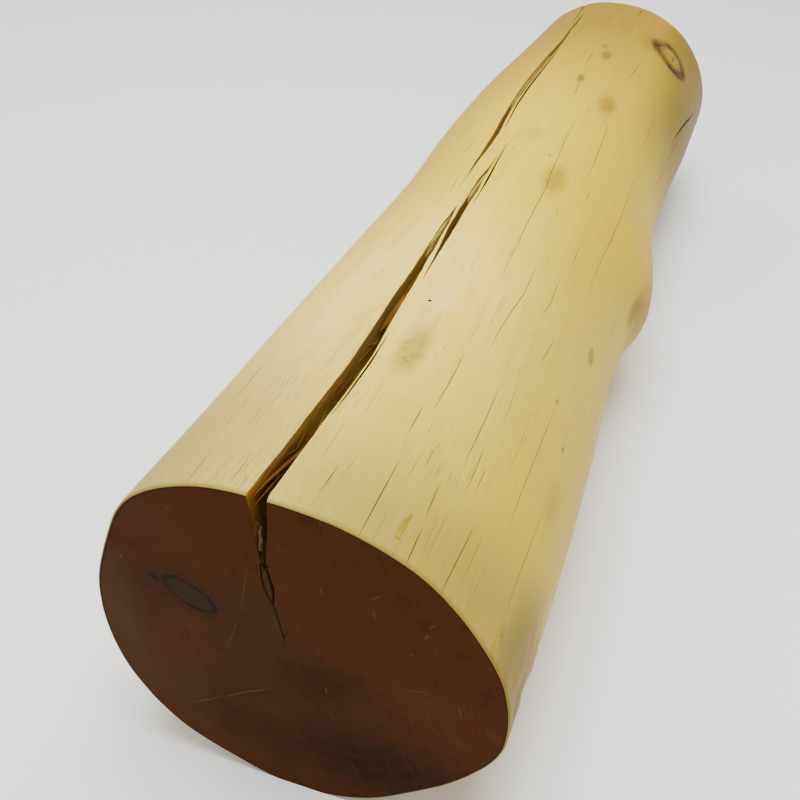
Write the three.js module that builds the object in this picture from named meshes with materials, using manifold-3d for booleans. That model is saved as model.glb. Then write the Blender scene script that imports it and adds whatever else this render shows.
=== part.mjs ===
import * as THREE from 'three';
import { mergeVertices } from 'three/addons/utils/BufferGeometryUtils.js';
import Module from 'manifold-3d';

// A peeled eucalyptus log, cut to a short post and laid on its side.
// Sizes are in millimetres and angles in degrees. Along is measured from the sawn butt towards
// the top end. Clock is the angle round the log seen from the butt: 0 is up, 90 is to the right.

const postLength = 720;
const restDepth = 1.6; // how much of the underside is worn flat
const outlineKept = 0.35; // how much of the butt's outline is left at the top end

// Mean radius and sideways drift of the log at equal steps from butt to top
const girth = [99.8, 97.9, 95.7, 92.4, 90.6, 89.3, 87.8, 86.5, 84.2];
const drift = [0, 1.6, 0.9, -1.2, -0.1, -3.3, -2.9, 2.7, 5.7];

// Swell and hollow of the butt's outline in percent of its radius, every 20 degrees of the clock
const buttOutline = [
  0.5, 1.3, 3.8, 3.7, 5.2, 4.2, -2.6, -5.6, -1.8,
  0.6, -2.4, -0.8, -2.0, -4.4, -4.8, -3.1, 4.3, 3.9,
];

// The healed stump of a branch on the right side
const branchStump = {
  clock: 104.4,
  along: 369.6,
  height: 10.5,
  halfWidth: 65.3,
  towardsButt: 34.9,
  towardsTop: 64.4,
};

const columns = 84;
const rows = 40;

// Drying cracks, from their surface edges down to their root in the wood.
// Each stop holds along, the clock of the left lip, the clock of the right lip, and the depth.
const cracks = {
  mainCrack: [
    [0, -5.4, -0.9, 92], [55, -4.9, -0.4, 86], [108, -4.5, 0.1, 76], [158, -5.2, -1.2, 66],
    [207, -5.6, -0.9, 56], [257, -6.3, -1.3, 46], [305, -5.3, -2.3, 36], [330, -5.5, -2.3, 24],
    [352, -4.7, -3.6, 13], [374, -4.5, -4.1, 3],
  ],
  upperCrack: [
    [320, -11.1, -10.8, 3], [349, -12.2, -10.8, 14], [396, -12.4, -9.9, 28], [447, -12.9, -9.4, 36],
    [502, -13.7, -9.4, 36], [555, -13.8, -11.0, 29], [603, -14.3, -13.2, 21], [651, -16.3, -15.0, 13],
    [678, -16.5, -16.1, 3],
  ],
  topLeftCrack: [[652, -19.1, -18.6, 3], [690, -20.5, -19.4, 12], [720, -22.4, -21.1, 20]],
  topCrack: [[694, 13.9, 14.3, 3], [720, 13.5, 14.7, 14]],
  rightCrack: [
    [560, 72.6, 73.0, 3], [594, 72.9, 74.1, 10], [623, 74.8, 76.0, 10], [648, 77.7, 78.8, 8],
    [679, 77.9, 78.3, 3],
  ],
};

// Width of a crack, as a share of its mouth, at shares of its depth
const crackTaper = [[0, 1], [0.2, 0.66], [0.42, 0.42], [0.7, 0.2], [1, 0.04]];
const crackStep = 18; // longest step along a crack
const mouthHeight = 3; // a crack's cutter stands this far out of the wood

const radians = THREE.MathUtils.degToRad;
const smoothStep = THREE.MathUtils.smoothstep;

// A smooth curve through equally spaced values, read at a share from 0 to 1
function alongCurve(values, share) {
  const place = THREE.MathUtils.clamp(share, 0, 1) * (values.length - 1);
  const index = Math.min(Math.floor(place), values.length - 2);
  const before = index > 0 ? values[index - 1] : 2 * values[0] - values[1];
  const last = values.length - 1;
  const after = index + 2 <= last ? values[index + 2] : 2 * values[last] - values[last - 1];
  return catmullRom(before, values[index], values[index + 1], after, place - index);
}

// The same round a closed outline, read at a clock angle
function roundCurve(values, clock) {
  const count = values.length;
  const place = (THREE.MathUtils.euclideanModulo(clock, 360) / 360) * count;
  const index = Math.floor(place);
  const at = (step) => values[(index + step + count) % count];
  return catmullRom(at(-1), at(0), at(1), at(2), place - index);
}

function catmullRom(a, b, c, d, t) {
  const slope = c - a;
  const bend = 2 * a - 5 * b + 4 * c - d;
  const twist = 3 * b - a - 3 * c + d;
  return 0.5 * (2 * b + slope * t + bend * t * t + twist * t * t * t);
}

function stumpSwell(clock, along, radius) {
  const turn = THREE.MathUtils.euclideanModulo(clock - branchStump.clock + 180, 360) - 180;
  const across = (radians(turn) * radius) / branchStump.halfWidth;
  const offset = along - branchStump.along;
  const run = offset / (offset < 0 ? branchStump.towardsButt : branchStump.towardsTop);
  return branchStump.height * Math.exp(-across * across - run * run);
}

function surfaceRadius(clock, along) {
  const share = along / postLength;
  const mean = alongCurve(girth, share);
  const kept = 1 - (1 - outlineKept) * smoothStep(share, 0, 1);
  return mean * (1 + (roundCurve(buttOutline, clock) / 100) * kept) + stumpSwell(clock, along, mean);
}

// A point at a clock angle, a distance along the log, and a radius from the pith
function placeOnLog(clock, along, radius) {
  const share = along / postLength;
  const x = alongCurve(drift, share) + radius * Math.sin(radians(clock));
  const z = alongCurve(girth, share) - restDepth + radius * Math.cos(radians(clock));
  return [x, along, z];
}

function surfacePoint(clock, along) {
  const [x, y, z] = placeOnLog(clock, along, surfaceRadius(clock, along));
  return [x, y, Math.max(z, 0)];
}

// Rings of points joined into a closed skin, with a fan over each end
function loftRings(rings) {
  const count = rings[0].length;
  const points = rings.flat();
  const faces = [];
  for (let ring = 0; ring < rings.length - 1; ring += 1) {
    for (let step = 0; step < count; step += 1) {
      const a = ring * count + step;
      const b = ring * count + ((step + 1) % count);
      faces.push(a, b, a + count, b, b + count, a + count);
    }
  }
  for (const [ring, flip] of [[0, false], [rings.length - 1, true]]) {
    const centre = points.length;
    points.push(ringMiddle(rings[ring]));
    for (let step = 0; step < count; step += 1) {
      const a = ring * count + step;
      const b = ring * count + ((step + 1) % count);
      faces.push(centre, flip ? a : b, flip ? b : a);
    }
  }
  const geometry = new THREE.BufferGeometry();
  geometry.setAttribute('position', new THREE.Float32BufferAttribute(points.flat(), 3));
  geometry.setIndex(faces);
  return geometry;
}

function ringMiddle(ring) {
  const sum = ring.reduce((total, point) => total.map((value, axis) => value + point[axis]), [0, 0, 0]);
  return sum.map((value) => value / ring.length);
}

function logGeometry() {
  const rings = [];
  for (let row = 0; row <= rows; row += 1) {
    const along = (postLength * row) / rows;
    const ring = [];
    for (let column = 0; column < columns; column += 1) {
      ring.push(surfacePoint((360 * column) / columns, along));
    }
    rings.push(ring);
  }
  return loftRings(rings);
}

// The stops of a crack with more put between them, and one past each end that is a sawn face
function crackStops(stops) {
  const filled = [];
  stops.slice(0, -1).forEach((stop, index) => {
    const next = stops[index + 1];
    const steps = Math.ceil((next[0] - stop[0]) / crackStep);
    for (let step = 0; step < steps; step += 1) {
      filled.push(stop.map((value, item) => THREE.MathUtils.lerp(value, next[item], step / steps)));
    }
  });
  filled.push(stops[stops.length - 1]);
  const [first, last] = [filled[0], filled[filled.length - 1]];
  if (first[0] === 0) filled.unshift([-mouthHeight, ...first.slice(1)]);
  if (last[0] === postLength) filled.push([postLength + mouthHeight, ...last.slice(1)]);
  return filled;
}

// The empty space of one crack, as a closed wedge that runs along the grain
function crackGeometry(stops) {
  const rings = crackStops(stops).map(([along, leftClock, rightClock, depth]) => {
    const middle = (leftClock + rightClock) / 2;
    const inside = THREE.MathUtils.clamp(along, 0, postLength);
    const radius = surfaceRadius(middle, inside);
    const halfMouth = (radians(rightClock - leftClock) * radius) / 2;
    const side = (sign) => crackTaper.map(([share, width]) => {
      const fromPith = radius - depth * share + (share === 0 ? mouthHeight : 0);
      const [x, , z] = placeOnLog(middle, inside, fromPith);
      const across = sign * halfMouth * width;
      return [x + across * Math.cos(radians(middle)), along, z - across * Math.sin(radians(middle))];
    });
    return [...side(-1).reverse(), ...side(1)];
  });
  return loftRings(rings);
}

const wasm = await Module();
wasm.setup();

function toSolid(geometry) {
  const welded = mergeVertices(geometry, 1e-4);
  return new wasm.Manifold(new wasm.Mesh({
    numProp: 3,
    vertProperties: new Float32Array(welded.attributes.position.array),
    triVerts: new Uint32Array(welded.index.array),
  }));
}

function toGeometry(solid) {
  const mesh = solid.getMesh();
  const geometry = new THREE.BufferGeometry();
  geometry.setAttribute('position', new THREE.BufferAttribute(mesh.vertProperties, 3));
  geometry.setIndex(new THREE.BufferAttribute(mesh.triVerts, 1));
  return geometry;
}

function postGeometry() {
  let solid = toSolid(logGeometry());
  for (const stops of Object.values(cracks)) {
    solid = solid.subtract(toSolid(crackGeometry(stops)));
  }
  const geometry = toGeometry(solid);
  geometry.computeBoundingBox();
  const middle = geometry.boundingBox.getCenter(new THREE.Vector3());
  geometry.translate(-middle.x, -middle.y, -geometry.boundingBox.min.z);
  geometry.computeVertexNormals();
  return geometry;
}

const peeledWood = new THREE.MeshStandardMaterial({ color: '#d9c590', roughness: 0.55, metalness: 0 });

const post = new THREE.Mesh(postGeometry(), peeledWood);
post.name = 'post';

const model = new THREE.Group();
model.add(post);

export default model;
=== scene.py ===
import math

import bmesh
import bpy
import numpy as np
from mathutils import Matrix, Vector


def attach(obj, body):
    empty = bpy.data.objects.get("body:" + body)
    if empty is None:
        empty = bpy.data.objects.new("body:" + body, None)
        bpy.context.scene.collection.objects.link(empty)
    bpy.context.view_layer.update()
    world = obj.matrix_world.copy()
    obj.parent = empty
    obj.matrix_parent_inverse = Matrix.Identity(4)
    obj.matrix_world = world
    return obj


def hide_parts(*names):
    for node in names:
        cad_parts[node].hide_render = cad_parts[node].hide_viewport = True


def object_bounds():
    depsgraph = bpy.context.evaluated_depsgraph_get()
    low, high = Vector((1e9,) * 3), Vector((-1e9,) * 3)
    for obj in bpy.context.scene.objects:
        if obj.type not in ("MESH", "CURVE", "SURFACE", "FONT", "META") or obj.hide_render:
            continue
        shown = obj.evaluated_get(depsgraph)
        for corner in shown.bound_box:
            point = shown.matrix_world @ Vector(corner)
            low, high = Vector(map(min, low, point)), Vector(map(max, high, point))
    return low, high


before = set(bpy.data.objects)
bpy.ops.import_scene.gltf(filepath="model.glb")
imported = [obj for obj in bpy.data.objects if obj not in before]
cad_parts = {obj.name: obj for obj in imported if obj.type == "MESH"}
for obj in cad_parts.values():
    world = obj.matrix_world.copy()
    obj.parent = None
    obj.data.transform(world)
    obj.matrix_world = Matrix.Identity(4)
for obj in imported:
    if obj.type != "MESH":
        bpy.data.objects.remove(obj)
cadBox = [list(corner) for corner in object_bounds()]

# A peeled eucalyptus log lying on its side, its sawn butt towards -Y.
# The dictionaries hold millimetres and degrees. "along" is measured from the butt, "clock" is the
# angle round the log seen from the butt: 0 is up and 90 is to the right.
millimetre = 0.001

logForm = {
    "length": 720,
    "restDepth": 1.6,
    "outlineKept": 0.35,
    "girth": [99.8, 97.9, 95.7, 92.4, 90.6, 89.3, 87.8, 86.5, 84.2],
    "drift": [0, 1.6, 0.9, -1.2, -0.1, -3.3, -2.9, 2.7, 5.7],
    "buttOutline": [
        0.5, 1.3, 3.8, 3.7, 5.2, 4.2, -2.6, -5.6, -1.8,
        0.6, -2.4, -0.8, -2.0, -4.4, -4.8, -3.1, 4.3, 3.9,
    ],
    "stump": {"clock": 104.4, "along": 369.6, "height": 10.5, "halfWidth": 65.3,
              "towardsButt": 34.9, "towardsTop": 64.4},
}

logSkin = {
    "columns": 256,
    "rowStep": 3.6,
    "rimStops": [0.0, 0.35, 0.95, 2.0, 3.8, 6.2],  # rows close together at the sawn edges
    "rimSunk": [0.9, 0.32, 0.06, 0, 0, 0],  # how far these rows are rounded off
    "capShares": [0.992, 0.975, 0.95, 0.91, 0.85, 0.77, 0.67, 0.56, 0.45, 0.34, 0.23, 0.12],
    "facetHeight": 0.45,  # shallow facets left by peeling
    "streakHeight": 0.12,
    # a torn patch low on the right near the butt
    "tear": {"clock": 92, "halfWidth": 12, "depth": 2.4, "rises": (3, 9), "ends": (36, 62)},
    "noiseRadius": 90,
    "sawWave": 0.10,
    "sawSlant": 0.35,
    "sawPitch": 2.3,
    "margin": 0.12,  # how far the skin stays inside the frame's box
    "crease": 38,  # edges sharper than this stay crisp
    # the spans over which the skin's lean is read, and the rim that keeps the lean of its faces
    "leanClock": 0.8,
    "leanAlong": 1.2,
    "leanRim": 1.3,
    "seed": 11,
}


def smoothStep(value, low, high):
    share = np.clip((value - low) / (high - low), 0, 1)
    return share * share * (3 - 2 * share)


def catmullRom(a, b, c, d, share):
    bend = 2 * a - 5 * b + 4 * c - d
    twist = 3 * b - a - 3 * c + d
    return 0.5 * (2 * b + (c - a) * share + bend * share ** 2 + twist * share ** 3)


def alongCurve(values, along):
    # a smooth curve through equally spaced values from butt to top
    padded = [2 * values[0] - values[1], *values, 2 * values[-1] - values[-2]]
    values = np.array(padded, float)
    last = len(values) - 3
    place = np.clip(along / logForm["length"], 0, 1) * last
    index = np.minimum(np.floor(place).astype(int), last - 1)
    return catmullRom(*(values[index + step] for step in range(4)), place - index)


def roundCurve(values, clock):
    values = np.array(values, float)
    place = np.mod(clock, 360) / 360 * len(values)
    index = np.floor(place).astype(int)
    corners = (values[(index + step) % len(values)] for step in (-1, 0, 1, 2))
    return catmullRom(*corners, place - index)


def latticeValue(cell, seed):
    mixed = (cell[..., 0] * 73856093) ^ (cell[..., 1] * 19349663) ^ (cell[..., 2] * 83492791)
    mixed = np.asarray((mixed ^ (seed * 668265263)) & 0xffffffff)
    mixed = ((mixed ^ (mixed >> 15)) * 2246822519) & 0xffffffff
    mixed = ((mixed ^ (mixed >> 13)) * 3266489917) & 0xffffffff
    return ((mixed ^ (mixed >> 16)) & 0xffff) / 32767.5 - 1


def softNoise(points, seed):
    # smooth noise from -1 to 1 on a lattice of step 1
    points = np.asarray(points, float)
    cell = np.floor(points).astype(np.int64)
    share = points - cell
    share = share * share * (3 - 2 * share)
    total = 0
    for corner in np.ndindex(2, 2, 2):
        weight = np.prod(np.where(np.array(corner) == 1, share, 1 - share), axis=-1)
        total = total + weight * latticeValue(cell + np.array(corner), seed)
    return total


def noiseAt(x, y, z, seed):
    return softNoise(np.stack(np.broadcast_arrays(x, y, z), -1), seed)


def barkNoise(clock, along, acrossStep, alongStep, seed):
    # noise on the log's skin, drawn out along the grain
    turn = np.radians(clock)
    reach = logSkin["noiseRadius"] / acrossStep
    return noiseAt(reach * np.sin(turn), along / alongStep, reach * np.cos(turn), seed)


def turnFrom(clock, middle):
    return np.mod(clock - middle + 180, 360) - 180


def skinRadius(clock, along):
    mean = alongCurve(logForm["girth"], along)
    kept = 1 - (1 - logForm["outlineKept"]) * smoothStep(along, 0, logForm["length"])
    stump = logForm["stump"]
    across = np.radians(turnFrom(clock, stump["clock"])) * mean / stump["halfWidth"]
    offset = along - stump["along"]
    run = offset / np.where(offset < 0, stump["towardsButt"], stump["towardsTop"])
    swell = stump["height"] * np.exp(-across ** 2 - run ** 2)
    return mean * (1 + roundCurve(logForm["buttOutline"], clock) / 100 * kept) + swell


def plainPlace(clock, along, radius):
    # metres, before the log is centred as the frame is
    turn = np.radians(clock)
    x = alongCurve(logForm["drift"], along) + radius * np.sin(turn)
    z = alongCurve(logForm["girth"], along) - logForm["restDepth"] + radius * np.cos(turn)
    y = along - logForm["length"] / 2 + 0 * x
    return np.stack([x, y, z], -1) * millimetre


def placeOnLog(clock, along, radius):
    return plainPlace(clock, along, radius) + logShift


def clockAndDepth(points):
    # the inverse: clock, along and depth under the plain skin, all from frame metres
    spots = (np.asarray(points) - logShift) / millimetre
    along = np.clip(spots[..., 1] + logForm["length"] / 2, 0, logForm["length"])
    x = spots[..., 0] - alongCurve(logForm["drift"], along)
    z = spots[..., 2] - alongCurve(logForm["girth"], along) + logForm["restDepth"]
    clock = np.degrees(np.arctan2(x, z))
    return clock, along, skinRadius(clock, along) - np.hypot(x, z)


def findLogShift():
    # the frame is centred on the CAD solid's box, so the same plain skin is centred the same way
    columns = 84
    rows = 40
    clocks = np.arange(columns) * 360 / columns
    clock, along = np.meshgrid(clocks, np.linspace(0, logForm["length"], rows + 1))
    plain = plainPlace(clock, along, skinRadius(clock, along)).reshape(-1, 3)
    middle = (plain[:, 0].min() + plain[:, 0].max()) / 2
    return np.array([-middle, 0, 0])


logShift = findLogShift()
print("frame read, log shifted by", logShift.round(5))

# Knots and healed eyes in the skin: clock, along, half width, half length, how far the middle swells
# and the edge dips, and the strengths of the halo, ring and core tones
knots = {
    "topKnot": (43.4, 653, 17.0, 16.5, 1.1, 0.9, 1.0, 1.0, 0.75),
    "budEye": (13.6, 580, 2.4, 6.0, 0.4, 0.3, 0.60, 0.30, 1.0),
    "smallEye": (9.7, 597, 1.2, 3.4, 0.2, 0.2, 0.45, 0.3, 0.8),
    "midEye": (10.1, 521, 1.9, 5.0, 0.4, 0.4, 0.60, 0.35, 0.9),
    "oliveEye": (28.0, 496, 4.2, 10.0, 0.5, 0.3, 0.62, 0.1, 0.45),
    "brownEye": (21.1, 349, 4.6, 12.0, 0.3, 0.3, 0.52, 0.08, 0.4),
    "paleKnot": (9.1, 124, 4.3, 12.5, 0.5, 0.2, 0.50, 0.10, 0.15),
    "lowKnot": (64.7, 226, 2.2, 5.0, 0.4, 0.5, 0.45, 0.3, 0.8),
    "stumpKnot": (92.0, 352, 13.0, 20.0, 1.0, 0.35, 0.55, 0.04, 0.5),
    "hiddenKnot": (-104.0, 246, 13.0, 17.0, 1.4, 0.8, 0.45, 0.85, 0.7),
    "backEye": (-58.0, 520, 5.0, 8.0, 0.5, 0.4, 0.45, 0.5, 0.6),
    "farEye": (146.0, 560, 6.0, 9.0, 0.6, 0.5, 0.45, 0.5, 0.6),
}

# Low swellings seen on the outline: clock, along, half width, half length, height
nubs = {
    "belowStump": (99, 303, 12, 6, 1.5),
    "flankHigh": (94, 45, 7, 4, 1.3),
    "flankMiddle": (99, 24, 6, 4, 1.0),
    "flankLow": (104, 9, 6, 3, 0.9),
}
nubRadius = 98


def knotRelief(clock, along):
    relief = 0
    for middle, place, halfWidth, halfLength, height in nubs.values():
        across = np.radians(turnFrom(clock, middle)) * nubRadius / halfWidth
        relief = relief + height * np.exp(-across ** 2 - ((along - place) / halfLength) ** 2)
    for middle, place, halfWidth, halfLength, swell, dent, *_ in knots.values():
        across = np.radians(turnFrom(clock, middle)) * skinRadius(middle, place)
        spread = np.hypot(across / halfWidth, (along - place) / halfLength)
        mound = swell * np.exp(-(spread / 1.7) ** 2)
        ring = dent * np.exp(-((spread - 1) / 0.22) ** 2)
        relief = relief + mound - ring
    return relief


def finishedRadius(clock, along):
    seed = logSkin["seed"]
    facets = barkNoise(clock, along, 34, 110, seed) + 0.4 * barkNoise(clock, along, 15, 60, seed + 1)
    streaks = barkNoise(clock, along, 6, 70, seed + 2)
    relief = logSkin["facetHeight"] * facets + logSkin["streakHeight"] * streaks + knotRelief(clock, along)
    tear = logSkin["tear"]
    flank = np.exp(-(turnFrom(clock, tear["clock"]) / tear["halfWidth"]) ** 2)
    flank = flank * smoothStep(along, *tear["rises"]) * (1 - smoothStep(along, *tear["ends"]))
    relief = relief - flank * tear["depth"] * np.maximum(barkNoise(clock, along, 7, 9, seed + 4) + 0.2, 0)
    return skinRadius(clock, along) + relief


def skinPoints(clock, along, sunk=0.0):
    spots = placeOnLog(clock, along, finishedRadius(clock, along) - sunk)
    margin = logSkin["margin"] * millimetre
    low = np.array(cadBox[0]) + [margin, 0, 0]
    high = np.array(cadBox[1]) - [margin, 0, margin]
    return np.clip(spots, low, high)


def linked(name, data):
    thing = bpy.data.objects.new(name, data)
    bpy.context.scene.collection.objects.link(thing)
    return thing


def meshObject(name, vertices, faces, materials):
    mesh = bpy.data.meshes.new(name)
    mesh.from_pydata([tuple(vertex) for vertex in vertices], [], [tuple(face) for face in faces])
    for material in materials:
        mesh.materials.append(material)
    mesh.update()
    return linked(name, mesh)


def loftRings(rings, capped=True):
    # rings of points joined into a skin; a cap is a fan about the ring's middle
    count = len(rings[0])
    vertices = list(np.concatenate(rings))
    faces = []
    for ring in range(len(rings) - 1):
        for step in range(count):
            a = ring * count + step
            b = ring * count + (step + 1) % count
            faces.append((a, b, b + count, a + count))
    for ring in (0, len(rings) - 1) if capped else ():
        middle = len(vertices)
        vertices.append(np.mean(rings[ring], axis=0))
        for step in range(count):
            a = ring * count + step
            b = ring * count + (step + 1) % count
            faces.append((middle, b, a) if ring == 0 else (middle, a, b))
    return vertices, faces


def capRings(alongAtFace, inwards):
    # rings from the rim to near the pith, with the faint waves of a saw
    clock = np.arange(logSkin["columns"]) * 360 / logSkin["columns"]
    rim = finishedRadius(clock, np.full_like(clock, alongAtFace)) - logSkin["rimSunk"][0]
    rings = []
    for share in logSkin["capShares"]:
        spots = placeOnLog(clock, np.full_like(clock, alongAtFace), rim * share)
        reach = spots / millimetre
        slant = reach[:, 0] * logSkin["sawSlant"] + reach[:, 2]
        wave = np.sin(slant / logSkin["sawPitch"]) * 0.35 + noiseAt(slant / 3, 0, 0, 5)
        rough = softNoise(reach / [3.5, 1, 3.5], 6)
        sunk = logSkin["sawWave"] * (1.2 + 0.6 * wave + 0.5 * rough) * min(1, (1 - share) * 30)
        spots[:, 1] += inwards * np.maximum(sunk, 0) * millimetre
        spots[:, 2] = np.maximum(spots[:, 2], 0)
        rings.append(spots)
    return rings


def makeLogSkin(materials):
    length = logForm["length"]
    edge = logSkin["rimStops"]
    steps = round((length - 2 * edge[-1]) / logSkin["rowStep"])
    inner = list(np.linspace(edge[-1], length - edge[-1], steps + 1))[1:-1]
    stops = edge + inner + [length - stop for stop in reversed(edge)]
    depths = logSkin["rimSunk"] + [0] * len(inner) + logSkin["rimSunk"][::-1]
    clock = np.arange(logSkin["columns"]) * 360 / logSkin["columns"]
    side = [skinPoints(clock, np.full_like(clock, stop), depth) for stop, depth in zip(stops, depths)]
    front = list(reversed(capRings(0, 1)))
    back = capRings(length, -1)
    vertices, faces = loftRings(front + side + back)
    skin = meshObject("postWood", vertices, faces, materials)
    sideFirst = len(front) - 1
    sideLast = sideFirst + len(side)
    for index, face in enumerate(skin.data.polygons):
        ring = index // logSkin["columns"]
        onSide = sideFirst < ring < sideLast
        face.material_index = 0 if onSide and index < len(faces) - 2 * logSkin["columns"] else 1
    print("log skin:", len(vertices), "points")
    return skin


# Drying cracks. A stop holds along, the left and right lip's clock, and the depth.
cracks = {
    "buttCrack": [
        (0, -5.5, -0.1, 42), (4, -5.3, -0.5, 44), (55, -4.9, -0.4, 50), (108, -4.5, 0.1, 56),
        (158, -5.2, -1.5, 56), (195, -5.5, -2.3, 50), (207, -5.6, -2.7, 48), (232, -5.9, -3.3, 40),
        (257, -6.4, -4.0, 22), (282, -6.0, -5.8, 2),
    ],
    "middleCrack": [
        (188, -0.6, -0.4, 2), (206, -1.1, -0.6, 12), (225, -1.9, -0.7, 24), (258, -3.7, -1.3, 38),
        (284, -4.4, -2.2, 40), (306, -5.3, -2.6, 36), (324, -5.6, -4.0, 22), (340, -5.0, -4.4, 10),
        (364, -4.7, -4.6, 2),
    ],
    "middleSide": [
        (288, -1.0, -0.8, 2), (305, -1.7, -1.3, 10), (322, -2.5, -1.7, 16), (345, -3.5, -2.9, 14),
        (364, -4.0, -3.6, 8), (381, -4.3, -4.15, 2),
    ],
    "upperCrack": [
        (302, -10.4, -10.25, 1.5), (326, -11.1, -10.8, 5), (349, -12.1, -10.8, 16), (372, -12.2, -10.6, 24),
        (396, -12.4, -10.0, 30), (447, -12.9, -10.8, 36), (480, -13.4, -10.8, 36), (502, -13.7, -10.8, 36),
        (530, -13.8, -10.9, 33), (555, -13.8, -11.2, 29), (603, -14.6, -12.9, 21), (627, -16.0, -14.6, 17),
        (651, -16.5, -15.0, 13), (668, -16.9, -15.9, 8), (684, -17.0, -16.7, 2),
    ],
    "upperSide": [
        (404, -8.8, -8.6, 1.5), (432, -9.65, -8.95, 10), (456, -10.2, -9.3, 14), (480, -10.4, -9.45, 14),
        (508, -10.4, -9.45, 14), (530, -10.4, -9.6, 12), (555, -10.7, -10.0, 10), (572, -11.5, -11.0, 6),
        (590, -13.0, -12.8, 2),
    ],
    "topLeftCrack": [
        (650, -18.9, -18.7, 1.5), (672, -19.6, -18.9, 8), (691, -20.6, -19.8, 14), (720, -22.5, -21.2, 22),
    ],
    "topCrack": [(690, 13.9, 14.0, 1.5), (704, 13.8, 14.15, 3.5), (720, 13.75, 14.2, 4)],
    "rightCrack": [
        (558, 72.6, 72.8, 1.5), (580, 72.5, 73.2, 7), (594, 73.0, 74.1, 10), (607, 73.6, 74.8, 10),
        (623, 74.9, 76.0, 10), (634, 76.6, 77.6, 10), (648, 77.8, 78.8, 8), (664, 77.9, 78.4, 6),
        (681, 78.0, 78.2, 1.5),
    ],
    "lipGroove": [
        (60, 0.15, 0.3, 1.5), (78, 0.3, 0.75, 5), (104, 0.45, 1.0, 7), (122, 0.3, 0.6, 4), (131, 0.1, 0.2, 1),
    ],
    "hiddenCrack": [
        (210, 168.0, 168.2, 2), (260, 167.4, 168.5, 10), (330, 166.5, 168.0, 16), (400, 165.9, 166.8, 10),
        (440, 165.6, 165.8, 2),
    ],
    "farCrack": [
        (596, -121.2, -121.0, 2), (640, -122.4, -121.6, 12), (690, -123.0, -121.7, 22),
        (720, -123.6, -122.0, 30),
    ],
}

crackForm = {
    "step": 2.6,
    "mouthHeight": 2.4,  # how far the cutter stands out of the wood
    # width as a share of the mouth's, at shares of the depth
    "taper": [
        (0, 1), (0.06, 0.96), (0.14, 0.89), (0.26, 0.8), (0.4, 0.68), (0.54, 0.6), (0.68, 0.5),
        (0.82, 0.34), (0.93, 0.18), (1, 0.06),
    ],
    "lipWander": 0.35,  # millimetres
    "lipTear": 0.16,
    "wallRidge": 0.42,
    "calmMouth": 1.2,  # a mouth with a narrower half than this wanders less
    "leastWidth": 0.12,
    # the butt crack bends aside below the lip: millimetres at shares of the depth, gone at these places
    "sway": [(0, 0), (0.2, -0.45), (0.43, -0.9), (0.67, -1.8), (0.86, -2.2), (1, -2.4)],
    "swayEnds": (20, 240),
    "golden": ("buttCrack", "middleCrack", "upperCrack", "topLeftCrack"),  # the others have plain dark walls
    "firstSeed": 50,
}


def crackStops(stops):
    stops = np.array(stops, float)
    count = max(3, math.ceil((stops[-1, 0] - stops[0, 0]) / crackForm["step"]))
    along = np.linspace(stops[0, 0], stops[-1, 0], count + 1)
    rows = [along] + [np.interp(along, stops[:, 0], stops[:, item]) for item in (1, 2, 3)]
    rows = np.stack(rows, -1)
    if stops[0, 0] == 0:
        rows = np.vstack([[-crackForm["mouthHeight"], *rows[0, 1:]], rows])
    if stops[-1, 0] == logForm["length"]:
        rows = np.vstack([rows, [logForm["length"] + crackForm["mouthHeight"], *rows[-1, 1:]]])
    return rows


def crackWidths(name, inside, depth, halfMouth, seed):
    # both walls of a crack as millimetres across and down, from the lip to the floor
    form = crackForm
    calm = min(1, halfMouth / form["calmMouth"])
    walls = {-1: [], 1: []}
    for side, wall in walls.items():
        lip = softNoise([inside / 14, side * 7.3, 0.5], seed) * form["lipWander"]
        lip += softNoise([inside / 4, side * 3.1, 4.5], seed) * form["lipTear"]
        for share, width in form["taper"]:
            down = depth * share
            ridge = softNoise([inside / 30, down / 2.6, side * 9.7], seed + 1)
            ridge += 0.5 * softNoise([inside / 11, down / 1.3, side * 4.9], seed + 2)
            fade = calm * min(1, 3 * share + 0.1) * (1 - share) ** 0.5
            across = side * halfMouth * width + lip * calm * (1 - share) + ridge * form["wallRidge"] * fade
            if name == "buttCrack":
                sway = np.interp(share, *zip(*form["sway"]))
                across += sway * (1 - smoothStep(inside, *form["swayEnds"]))
            wall.append((across, down))
        wall.insert(0, (wall[0][0] + side * 0.15 * calm, -form["mouthHeight"]))
    for index, ((left, down), (right, _)) in enumerate(zip(walls[-1], walls[1])):
        if right - left < form["leastWidth"]:
            centre = (right + left) / 2
            walls[1][index] = (centre + form["leastWidth"] / 2, down)
            walls[-1][index] = (centre - form["leastWidth"] / 2, down)
    return walls[-1][::-1] + walls[1]


def crackCutter(name, stops, seed, material):
    rings = []
    for along, left, right, depth in crackStops(stops):
        inside = min(max(along, 0), logForm["length"])
        middle = (left + right) / 2
        radius = float(finishedRadius(middle, inside))
        halfMouth = math.radians(right - left) * radius / 2
        turn = math.radians(middle)
        ring = []
        for across, down in crackWidths(name, inside, depth, halfMouth, seed):
            spot = placeOnLog(np.array(middle), np.array(inside), radius - down)
            shift = [across * math.cos(turn), along - inside, -across * math.sin(turn)]
            ring.append(spot + np.array(shift) * millimetre)
        rings.append(np.array(ring))
    vertices, faces = loftRings(rings)
    return meshObject(name, vertices, faces, [material])


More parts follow.
